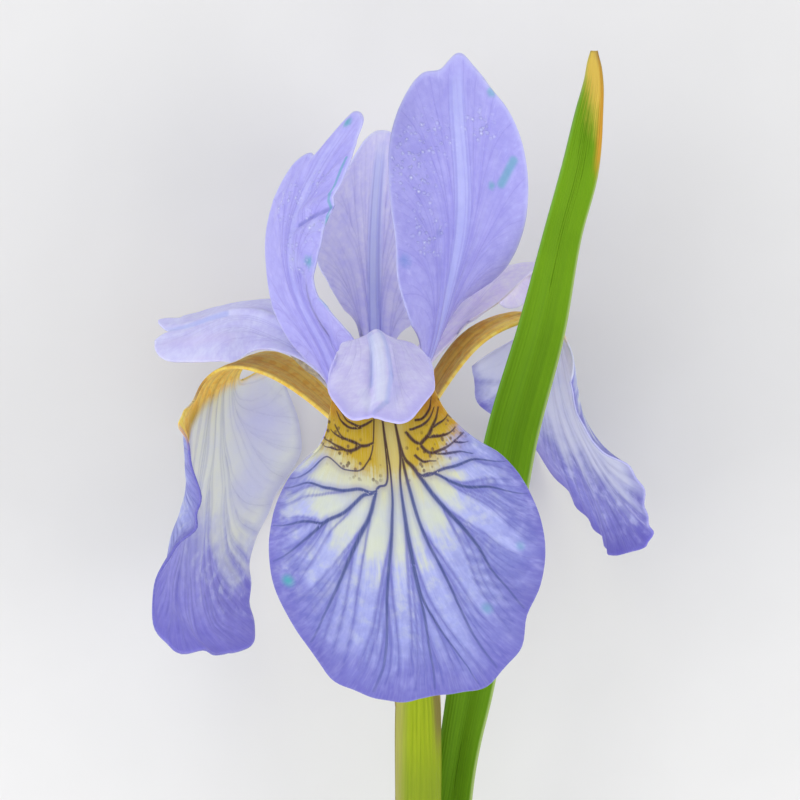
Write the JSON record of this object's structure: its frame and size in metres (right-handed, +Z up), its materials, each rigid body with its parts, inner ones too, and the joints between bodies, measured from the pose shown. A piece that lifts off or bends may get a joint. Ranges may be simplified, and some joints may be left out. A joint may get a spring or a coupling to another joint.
{
  "type": "siberian iris flower",
  "caption": "Picked Siberian iris flower lying on its back: arching falls, upright standards and style arms on a slim stem with papery bracts and a sword-shaped leaf.",
  "frame": {"origin": "middle of the flower's outline seen from above, on the ground that its lowest petals and the cut end of its stem rest on", "axes": "+X to the flower's right, +Y along the flower from the cut end of the stem to the standards, +Z up from the ground, the way the front fall faces"},
  "size_m": [0.0714, 0.162, 0.0728],
  "materials": {
    "fall": "soft violet-blue petal with dark veins and a yellow and white signal patch",
    "standard": "soft lilac petal with fine violet veins",
    "style_arm": "very pale lilac petal-like tissue",
    "stamen": "cream filament and anther with dull pollen",
    "tube": "smooth green flushed with violet",
    "green_stalk": "smooth waxy green",
    "spathe": "green at the foot, thin brown and papery towards the tip",
    "leaf": "satin green blade with fine lengthwise veins and a dry tip"
  },
  "bodies": {
    "root": {"fall_front": "fall", "fall_left": "fall", "fall_right": "fall", "standard_left": "standard", "standard_right": "standard", "standard_back": "standard", "style_arm_front": "style_arm", "style_arm_left": "style_arm", "style_arm_right": "style_arm", "stamen_front": "stamen", "stamen_left": "stamen", "stamen_right": "stamen", "perianth_tube": "tube", "ovary": "green_stalk", "stem": "green_stalk", "spathe_outer": "spathe", "spathe_inner": "spathe", "leaf": "leaf"}
  },
  "joints": []
}
